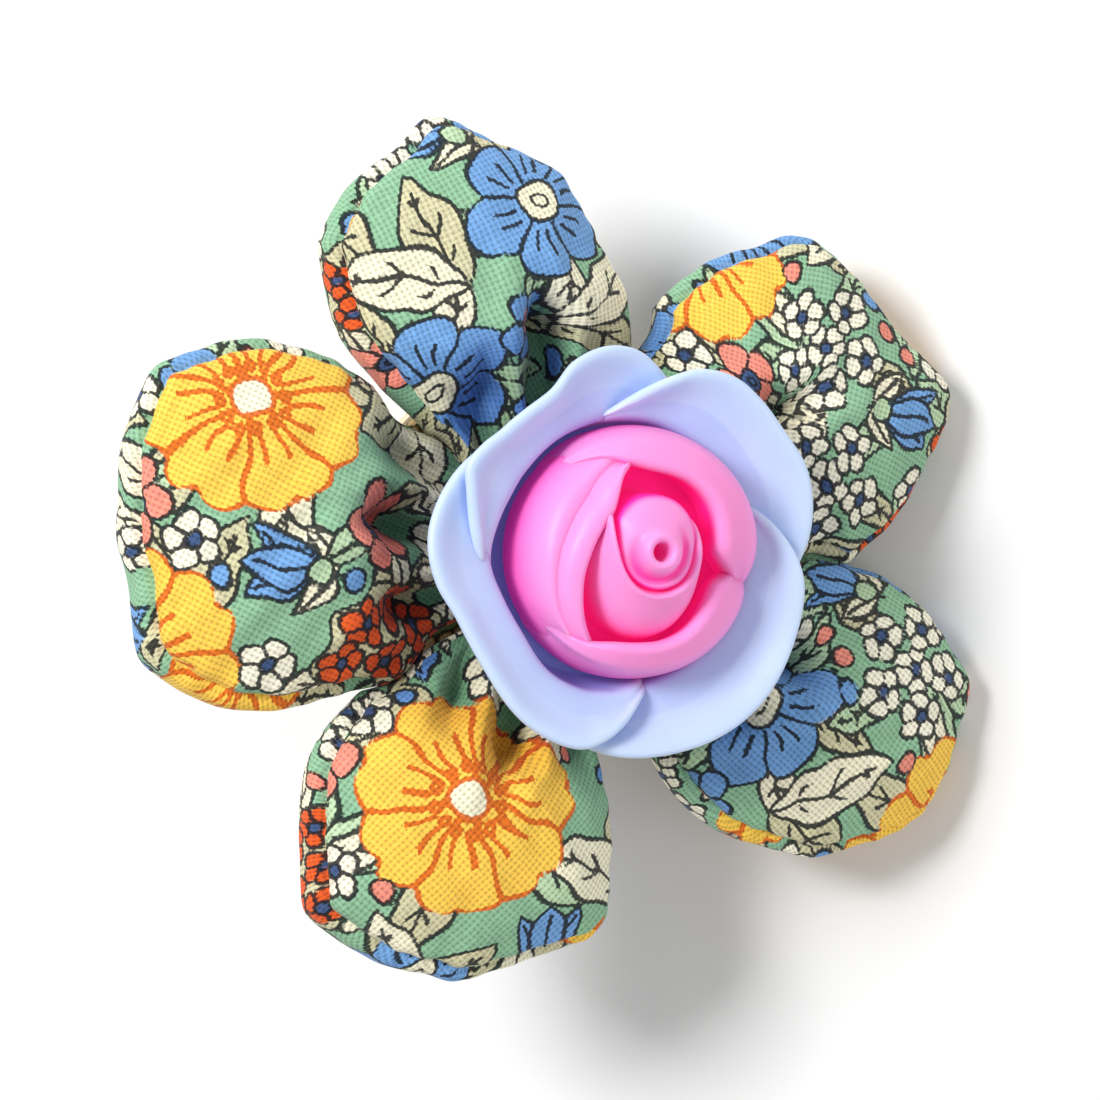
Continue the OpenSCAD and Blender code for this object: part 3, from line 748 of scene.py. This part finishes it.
roseForm = {
    "axis": (0.75, 0.1, 2.05),      # middle of the outer petals, at the height of the flat base
    "budAxis": (1.62, 0.08, 2.05),
    "spiralAxis": (1.27, 0.1, 2.05),
    "outerScale": 0.961,
    "outerGrid": (150, 96),         # steps along each petal and round its section
    "budGrid": (140, 96),
    "heartGrid": (140, 80),
    "turns": 144,                   # steps round the lathed pieces
    # colour where lit, painted shade colour in the creases, how far red, green and blue light spread,
    # painted glow of the creases
    "outerResin": ("#c3d5f9", "#8090dc", (0.6, 0.75, 1.0), 0.09),
    "budResin": ("#ff98d8", "#ff2ea6", (1.0, 0.45, 0.6), 0.13),
}
# Rims of the four outer petals: turn, rim radius, rim height, inner wall radius, inner wall height.
# Each starts in front of its neighbour and ends behind the next
outerPetals = {
    "outer_petal_a": [
        (200, 7.0, 2.4, 6.6, 2.2), (188, 7.7, 4.2, 7.0, 3.9), (178, 8.2, 4.9, 7.1, 4.5),
        (168, 8.8, 5.3, 7.0, 4.8), (160, 9.4, 5.6, 6.9, 4.9), (153, 10.0, 5.8, 6.85, 5.0),
        (145, 9.8, 5.9, 6.85, 5.0), (136, 9.45, 5.9, 6.85, 5.0), (118, 9.45, 5.9, 6.95, 4.9),
        (107, 10.4, 5.9, 7.0, 4.8), (96, 10.85, 5.8, 7.1, 4.7), (86, 10.65, 5.5, 7.2, 4.5),
        (77, 9.9, 5.0, 7.2, 4.2), (68, 9.0, 4.4, 7.1, 3.8), (58, 8.0, 3.4, 6.9, 3.0),
    ],
    "outer_petal_b": [
        (104, 7.0, 2.6, 6.7, 2.4), (97, 7.4, 4.6, 7.0, 4.3), (92, 7.8, 5.3, 7.1, 4.9),
        (83, 8.7, 5.8, 7.15, 5.0), (75, 9.6, 6.1, 7.2, 5.0), (67, 10.5, 6.2, 7.2, 5.0),
        (57, 11.05, 6.2, 7.2, 5.0), (47, 11.1, 6.1, 7.2, 4.9), (36, 11.05, 6.0, 7.2, 4.8),
        (24, 11.3, 5.8, 7.2, 4.7), (14, 11.2, 5.5, 7.2, 4.5), (4, 10.8, 5.2, 7.2, 4.3),
        (-5, 10.2, 4.8, 7.2, 4.1), (-14, 9.3, 4.2, 7.1, 3.7), (-24, 8.2, 3.4, 6.9, 3.0),
    ],
    "outer_petal_c": [
        (26, 7.1, 2.6, 6.7, 2.4), (19, 7.8, 4.6, 7.0, 4.2), (14, 8.3, 5.2, 7.1, 4.8),
        (5, 9.2, 5.6, 7.15, 4.9), (-4, 10.0, 5.8, 7.2, 4.9), (-12, 10.45, 5.8, 7.2, 4.9),
        (-26, 10.8, 5.7, 7.2, 4.8), (-45, 11.2, 5.7, 7.2, 4.7), (-60, 11.2, 5.7, 7.2, 4.7),
        (-76, 11.0, 5.6, 7.3, 4.6), (-91, 10.8, 5.4, 7.8, 4.1), (-103, 10.4, 4.8, 8.1, 3.4),
        (-113, 9.8, 4.2, 8.1, 2.9), (-124, 9.0, 3.4, 8.0, 2.4),
    ],
    "outer_petal_d": [
        (-71, 7.0, 2.6, 6.7, 2.4), (-79, 7.6, 4.5, 7.0, 4.2), (-84, 8.1, 5.2, 7.2, 4.8),
        (-91, 9.2, 5.6, 7.4, 5.0), (-98, 10.1, 5.8, 7.5, 5.0), (-106, 10.7, 5.8, 7.6, 5.0),
        (-122, 10.6, 5.7, 7.5, 5.0), (-142, 10.0, 5.7, 7.0, 5.0), (-159, 10.0, 5.6, 7.0, 4.9),
        (-171, 10.6, 5.5, 7.2, 4.8), (-182, 10.9, 5.4, 7.3, 4.6), (-192, 10.7, 5.2, 7.2, 4.4),
        (-206, 10.0, 4.8, 7.0, 4.1), (-216, 9.2, 4.2, 6.9, 3.7), (-226, 8.0, 3.4, 6.7, 3.0),
    ],
}


def sectionRows(table, rows):
    # control points of a section at each step of its table; a plain number holds all along the petal
    return np.array([[np.broadcast_to(part, len(table)) for part in row] for row in rows]).transpose(0, 2, 1)


# Each section also gives the share of its control points up to the crest, and the depths below the
# crest at which the painted shade of its outside and of its inside is full
def outerSection(table):
    # flared petal: up the outside to a rolled rim, in over the lip, and down the inner wall
    rim, high, wall, wallHigh = table[:, 1:].T
    rim, wall = rim * roseForm["outerScale"], wall * roseForm["outerScale"]
    lip = rim - wall
    rows = [
        (6.2, 0.1), (7.2, 0.15), (wall + lip * 0.22 + 0.5, high * 0.34),
        (wall + lip * 0.62 + 0.35, high - 1.6),
        (rim - 0.12, high - 0.75), (rim + 0.16, high - 0.3), (rim + 0.02, high + 0.12),
        (rim - np.minimum(0.5, lip * 0.4), high + 0.06),
        (wall + lip * 0.55, wallHigh + (high - wallHigh) * 0.42 - 0.08),
        (wall + lip * 0.22 + 0.1, wallHigh + 0.06), (wall + 0.02, wallHigh - 0.12),
        (wall - 0.12, wallHigh - 0.7), (wall - 0.2, wallHigh - 1.8), (6.3, 1.2),
    ]
    return sectionRows(table, rows), 0.6, 5.0, 3.4


# Petals of the bud: turn, crest radius, crest height, shoulder radius, shoulder height, outer radius
budPetals = {
    "bud_petal_left": [
        (98, 4.53, 5.4, 4.83, 5.0, 5.95), (107, 4.57, 7.2, 4.91, 6.6, 6.14),
        (116, 4.33, 7.8, 4.96, 6.95, 6.24), (128, 3.65, 7.95, 4.78, 7.0, 6.33),
        (141, 3.25, 7.95, 4.53, 6.95, 6.38), (157, 3.27, 7.85, 4.57, 6.9, 6.43),
        (171, 3.45, 7.75, 4.74, 6.85, 6.43), (185, 3.72, 7.6, 5.02, 6.75, 6.43),
        (198, 4.11, 7.4, 5.31, 6.6, 6.43), (210, 4.51, 7.2, 5.56, 6.4, 6.38),
        (223, 5.01, 6.85, 5.75, 6.15, 6.33), (235, 5.4, 6.3, 5.9, 5.8, 6.24),
        (248, 5.52, 5.2, 5.92, 4.8, 6.05),
    ],
    "bud_petal_top": [
        (144, 5.2, 3.0, 5.3, 2.7, 5.4), (135, 5.85, 5.2, 6.05, 4.8, 6.22), (125, 5.68, 6.5, 6.16, 6.1, 6.5),
        (115, 5.2, 7.15, 5.9, 6.75, 6.58), (107, 4.74, 7.5, 5.63, 7.15, 6.57),
        (94, 4.28, 7.75, 5.37, 7.4, 6.57), (79, 4.11, 7.85, 5.3, 7.5, 6.57),
        (63, 4.06, 7.85, 5.26, 7.5, 6.57), (47, 3.96, 7.8, 5.16, 7.45, 6.61),
        (30, 3.79, 7.7, 4.99, 7.4, 6.66), (14, 3.56, 7.55, 4.86, 7.3, 6.71),
        (1, 3.51, 7.35, 4.81, 7.1, 6.66), (-8, 4.01, 6.9, 5.01, 6.6, 6.57),
        (-16, 4.92, 6.0, 5.42, 5.7, 6.43), (-22, 5.65, 4.6, 5.85, 4.3, 6.24),
    ],
    "bud_petal_bottom": [
        (203, 5.3, 2.6, 5.4, 2.3, 5.4), (213, 5.95, 4.5, 6.1, 4.1, 6.2), (223, 5.92, 5.95, 6.2, 5.5, 6.42),
        (233, 5.64, 6.62, 6.2, 6.22, 6.5), (246, 5.05, 7.1, 5.89, 6.75, 6.57),
        (261, 4.74, 7.2, 5.64, 6.9, 6.52), (276, 4.62, 7.2, 5.46, 6.9, 6.52),
        (293, 4.45, 7.15, 5.34, 6.85, 6.57), (309, 4.14, 7.1, 5.13, 6.8, 6.61),
        (324, 3.92, 7.0, 4.97, 6.75, 6.61), (336, 3.91, 6.85, 4.95, 6.6, 6.57),
        (344, 4.32, 6.4, 5.12, 6.1, 6.47), (350, 5.0, 5.4, 5.5, 5.1, 6.33),
        (355, 5.57, 4.0, 5.69, 3.7, 6.14),
    ],
}


def budSection(table, rolled=False):
    # bud petal: up the outside, over the shoulder to the crest, and down into the bud; a rolled one
    # has a dome outside, and its lip stands up from a crease
    crest, high, shoulder, shoulderHigh, outer = table[:, 1:].T
    middle = (high + shoulderHigh) / 2
    outside = [
        (4.6, 1.15), (6.0, 1.15), (outer - 0.1, shoulderHigh * 0.3), (outer + 0.06, shoulderHigh * 0.55),
    ]
    top = [
        (outer - 0.25, shoulderHigh * 0.8), (shoulder + (outer - shoulder) * 0.42, shoulderHigh - 0.2),
        (shoulder, shoulderHigh + 0.02), (crest + (shoulder - crest) * 0.45, middle + 0.28),
        (crest + 0.08, high + 0.1), (crest - 0.16, high - 0.25),
    ]
    rolledTop = [
        (outer - 0.22, shoulderHigh * 0.8), (shoulder + (outer - shoulder) * 0.5, shoulderHigh - 0.12),
        (shoulder + 0.22, shoulderHigh + 0.12), (shoulder + 0.02, shoulderHigh + 0.02),
        (shoulder - 0.05, shoulderHigh + 0.1), (shoulder - 0.25, middle + 0.2),
        (crest + 0.35, high + 0.14), (crest + 0.02, high + 0.1), (crest - 0.18, high - 0.3),
    ]
    inside = [(crest - 0.12, high - 1.1), (crest + 0.25, high - 2.4), (crest + 0.3, high * 0.4), (4.2, 1.9)]
    rows = outside + (rolledTop if rolled else top) + inside
    return sectionRows(table, rows), 0.67 if rolled else 0.64, 5.0, 1.5


def rolledSection(table):
    # the bud petal's section with its lip rolled
    return budSection(table, rolled=True)


# The petal that wraps the bud's heart, about the heart's own axis: turn, crest radius, crest height,
# foot radius
heartRows = [
    (126, 3.0, 6.2, 3.0), (137, 3.0, 7.6, 3.0), (147, 2.85, 8.25, 2.95), (160, 2.5, 8.4, 2.95),
    (177, 2.2, 8.4, 3.05), (197, 2.05, 8.3, 3.15), (220, 2.05, 8.2, 3.5), (245, 2.15, 8.1, 4.05),
    (268, 2.25, 8.05, 4.35), (290, 2.35, 8.05, 4.25), (312, 2.42, 8.1, 3.85), (332, 2.42, 8.1, 3.45),
    (354, 2.42, 8.1, 3.15), (376, 2.5, 7.95, 3.0), (394, 2.65, 7.5, 2.95), (408, 2.8, 6.2, 2.95),
]


def heartSection(table):
    # thin upright petal: up its outside from the foot, over a narrow crest, and down behind it
    crest, high, foot = table[:, 1:].T
    rows = [
        (1.2, 3.0), (foot + 0.1, 3.4), (foot + 0.12, 5.2), (foot - 0.05, high - 1.75),
        (crest + (foot - crest) * 0.55, high - 0.75), (crest + 0.26, high - 0.2), (crest + 0.08, high + 0.1),
        (crest - 0.12, high + 0.04), (crest - 0.24, high - 0.3), (crest - 0.4, high - 0.8), (1.2, high - 1.8),
        (0.8, 4.6),
    ]
    return sectionRows(table, rows), 0.58, 3.4, 0.9


# Radius of the heart's dome inside that petal, at steps of 22.5 degrees
heartEdge = [2.25, 2.5, 2.8, 3.0, 3.05, 3.0, 2.75, 2.25, 1.98, 1.85, 1.82, 1.88, 1.98, 2.08, 2.18, 2.2]


def heartShape(share, turn):
    # dome of the heart: height falls off towards its edge, with a ring round the hole whose outer
    # side opens into a spiral groove; and painted shade towards its edge, in the groove and in the hole
    edge = roundTable(heartEdge, np.degrees(turn))
    r = share * edge
    swing = (60 - np.degrees(turn)) % 360
    spiral = 1.62 - 0.5 * swing / 360
    strong = smooth(swing / 60) * smooth((300 - swing) / 120)
    high = 9.0 - 1.1 * np.minimum(share, 1) ** 2.4 - 3.4 * smooth((share - 0.93) / 0.16)
    ring = 0.34 * bell(r - 0.78, 0.32)
    groove = strong * bell(r - spiral, 0.26)
    hole = 2.2 * (1 - smooth((r - 0.28) / 0.26))
    # painted shade towards the dome's edge, in the spiral groove and in the hole
    paintedLight = (1 - smooth((share - 0.84) / 0.12)) * (1 - 0.85 * groove) * smooth((r - 0.3) / 0.2)
    return np.minimum(r, edge), high + ring - 0.42 * groove - hole, paintedLight


def resinMaterial(name, base, shadeColour, spread, paintedGlow):
    # Satin cast resin: soft highlight, light that spreads a little way inside, painted shade in a deeper
    # colour in the creases and a painted glow there; its grain is 0.7 mm, and faint clouds of colour are 4 mm
    base, shadeColour = linear(base), linear(shadeColour)
    material, tree = newMaterial(name)
    material.cycles.emission_sampling = "NONE"
    paintedLightLevel = addNode(tree, "Attribute", {}, attribute_name="paintedLightLevel").outputs["Fac"]
    # painted shade: the shade colour in the creases, the lit colour in the open
    shadedTone = addNode(tree, "Mix", {0: paintedLightLevel, 6: shadeColour, 7: base}, data_type="RGBA")
    place = addNode(tree, "TexCoord", {}).outputs["Object"]
    grain = addNode(tree, "TexNoise", {"Vector": place, "Scale": 1400.0, "Detail": 3.0})
    mottle = addNode(tree, "TexNoise", {"Vector": place, "Scale": 260.0, "Detail": 2.0})
    cloud = addNode(tree, "MapRange", {"Value": mottle, **noiseRange, "To Min": 0.97, "To Max": 1.02})
    toned = addNode(tree, "VectorMath", {0: shadedTone.outputs[2], "Scale": cloud}, operation="SCALE")
    # painted glow in the creases, strongest where the painted shade is full
    paintedGlowStrength = addNode(tree, "MapRange", {"Value": paintedLightLevel, "To Min": paintedGlow, "To Max": 0.0})
    bump = addNode(tree, "Bump", {"Height": grain, "Strength": 0.08, "Distance": 0.00002})
    surface = addNode(tree, "BsdfPrincipled", {
        "Base Color": toned, "Normal": bump, "Roughness": 0.42, "Subsurface Weight": 0.45,
        "Subsurface Radius": spread, "Subsurface Scale": 0.0014, "Specular IOR Level": 0.35,
        "Emission Color": shadeColour, "Emission Strength": paintedGlowStrength})
    addNode(tree, "OutputMaterial", {"Surface": surface})
    return material


def buildRose():
    # four outer petals on a floor, then the bud: three petals, its heart with a petal round it, a floor
    blue = resinMaterial("satin periwinkle resin", *roseForm["outerResin"])
    pink = resinMaterial("satin bright pink resin", *roseForm["budResin"])
    axis, budAxis, spiralAxis = roseForm["axis"], roseForm["budAxis"], roseForm["spiralAxis"]
    outers = [sweptPetal(name, rows, outerSection, axis, roseForm["outerGrid"], blue)
              for name, rows in outerPetals.items()]
    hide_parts("rose_petals")
    inners = [sweptPetal(name, rows, rolledSection if name == "bud_petal_left" else budSection, budAxis,
                         roseForm["budGrid"], pink) for name, rows in budPetals.items()]
    sweptPetal("bud_petal_heart", heartRows, heartSection, spiralAxis, roseForm["heartGrid"], pink)
    shares = np.concatenate([np.linspace(0.02, 0.9, 80), np.linspace(0.91, 1.1, 30)])
    heartProfile = np.stack([shares, 0 * shares], -1)
    lathed("bud_heart", heartProfile, spiralAxis, pink, heartShape)
    # both floors get no shape, so each is painted all in its shade colour, with the full painted glow
    budFloor = [(0.1, 4.6), (3.0, 4.5), (5.6, 4.0), (5.8, 3.4), (5.2, 1.3), (0.1, 1.25)]
    lathed("bud_floor", budFloor, budAxis, pink)
    roseFloor = [(0.1, 1.15), (5.0, 1.15), (7.3, 1.5), (7.6, 1.0), (7.0, 0.12), (0.1, 0.1)]
    lathed("rose_floor", roseFloor, axis, blue)
    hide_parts("rose_bud")


def goldMaterial(name, base, roughness, marks):
    # Polished pale gold plating: near mirror, with duller patches of 3 mm and faint polishing marks,
    # drawn 0.1 mm apart because real ones are too fine to show
    material, tree = newMaterial(name)
    place = addNode(tree, "TexCoord", {}).outputs["Object"]
    stretched = addNode(tree, "Mapping", {"Vector": place, "Scale": (1.0, 0.08, 1.0)})
    scratches = addNode(tree, "TexNoise", {"Vector": stretched, "Scale": 9000.0, "Detail": 2.0})
    smears = addNode(tree, "TexNoise", {"Vector": place, "Scale": 320.0, "Detail": 3.0})
    dull = addNode(tree, "MapRange", {
        "Value": smears, "From Min": 0.35, "From Max": 0.75, "To Min": roughness, "To Max": roughness + 0.09})
    bump = addNode(tree, "Bump", {"Height": scratches, "Strength": marks, "Distance": 0.000004})
    surface = addNode(tree, "BsdfPrincipled", {
        "Base Color": linear(base), "Metallic": 1.0, "Roughness": dull, "Normal": bump})
    addNode(tree, "OutputMaterial", {"Surface": surface})
    return material


def siliconeMaterial():
    # Moulded silicone: milky and see-through, with a soft wet gloss that is duller in patches of 2 mm
    material, tree = newMaterial("milky moulded silicone")
    place = addNode(tree, "TexCoord", {}).outputs["Object"]
    patches = addNode(tree, "TexNoise", {"Vector": place, "Scale": 500.0, "Detail": 3.0})
    rough = addNode(tree, "MapRange", {"Value": patches, **noiseRange, "To Min": 0.16, "To Max": 0.3})
    surface = addNode(tree, "BsdfPrincipled", {
        "Base Color": linear("#fdf1ee"), "Transmission Weight": 0.65, "IOR": 1.41, "Subsurface Weight": 0.4,
        "Subsurface Radius": (1.0, 0.7, 0.6), "Subsurface Scale": 0.001, "Roughness": rough})
    addNode(tree, "OutputMaterial", {"Surface": surface})
    return material


cotton = cottonMaterial()
for petalName in petalNames:
    buildPetal(petalName, cotton)
print("petals made")
buildRose()
print("rose made")
plateGold = goldMaterial("polished pale gold plating", "#ffe6c4", 0.06, 0.05)
finishes = {
    "petal_plate": plateGold,
    "clip_base": plateGold,
    "omega_wire": goldMaterial("polished gold plated spring wire", "#fad9a8", 0.1, 0.08),
    "ear_stopper": siliconeMaterial(),
}
for nodeName, finish in finishes.items():
    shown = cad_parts[nodeName]
    shown.data.materials.clear()
    shown.data.materials.append(finish)
print("metal and silicone finished")

# Places and sizes of the stage are in metres
stage = {
    "paper": "#ededed",
    "floorHalf": 1.5,
    "daylight": 0.4,                   # strength of the light from all round
    "lights": {                        # place, size, power
        "key": ((-0.18, 0.13, 0.33), 0.12, 1.42),
        "fill": ((0.27, -0.1, 0.19), 0.2, 0.3),
        "back": ((0.02, 0.36, 0.12), 0.2, 0.25),
    },
    "lightsMeet": (0, 0, 0.012),
    "cameraMeets": (0, 0, 0.0125),
    "frameWidth": 0.058,               # width of the picture at that place
    "lens": 120.0,
    "sensor": 36.0,
}


def buildStage():
    # pale paper floor, large soft lights above and beside, and the camera at the photograph's angle
    add = bpy.context.scene.collection.objects.link
    material, tree = newMaterial("matt white paper")
    paper = addNode(tree, "BsdfPrincipled", {"Base Color": linear(stage["paper"]), "Roughness": 0.9})
    addNode(tree, "OutputMaterial", {"Surface": paper})
    half = stage["floorHalf"]
    corners = [(-half, -half, 0), (half, -half, 0), (half, half, 0), (-half, half, 0)]
    mesh = bpy.data.meshes.new("floor")
    mesh.from_pydata(corners, [], [(0, 1, 2, 3)])
    mesh.materials.append(material)
    floor = bpy.data.objects.new("floor", mesh)
    add(floor)
    world = bpy.data.worlds.new("studio")
    bpy.context.scene.world = world
    world.use_nodes = True
    background = world.node_tree.nodes["Background"]
    background.inputs[0].default_value = (1.0, 1.0, 1.0, 1.0)
    background.inputs[1].default_value = stage["daylight"]
    for name, (place, size, power) in stage["lights"].items():
        data = bpy.data.lights.new(name, "AREA")
        data.energy, data.size = power, size
        lamp = bpy.data.objects.new(name, data)
        lamp.location = place
        towards = Vector(stage["lightsMeet"]) - Vector(place)
        lamp.rotation_euler = towards.to_track_quat("-Z", "Y").to_euler()
        add(lamp)

    view = math.radians(rest["view"])
    back = Vector(restTurn @ np.array([-math.sin(view), 0, math.cos(view)]))
    right = Vector(restTurn @ np.array([0, 1, 0])).cross(back).normalized()
    up = back.cross(right)
    data = bpy.data.cameras.new("camera")
    data.lens, data.sensor_width = stage["lens"], stage["sensor"]
    data.clip_start, data.clip_end = 0.01, 10
    camera = bpy.data.objects.new("camera", data)
    distance = stage["frameWidth"] * data.lens / data.sensor_width
    camera.location = Vector(stage["cameraMeets"]) + back * distance
    camera.rotation_euler = Matrix([right, up, back]).transposed().to_euler()
    add(camera)
    bpy.context.scene.camera = camera
    bpy.context.scene.view_settings.view_transform = "Standard"


buildStage()
print("stage made")
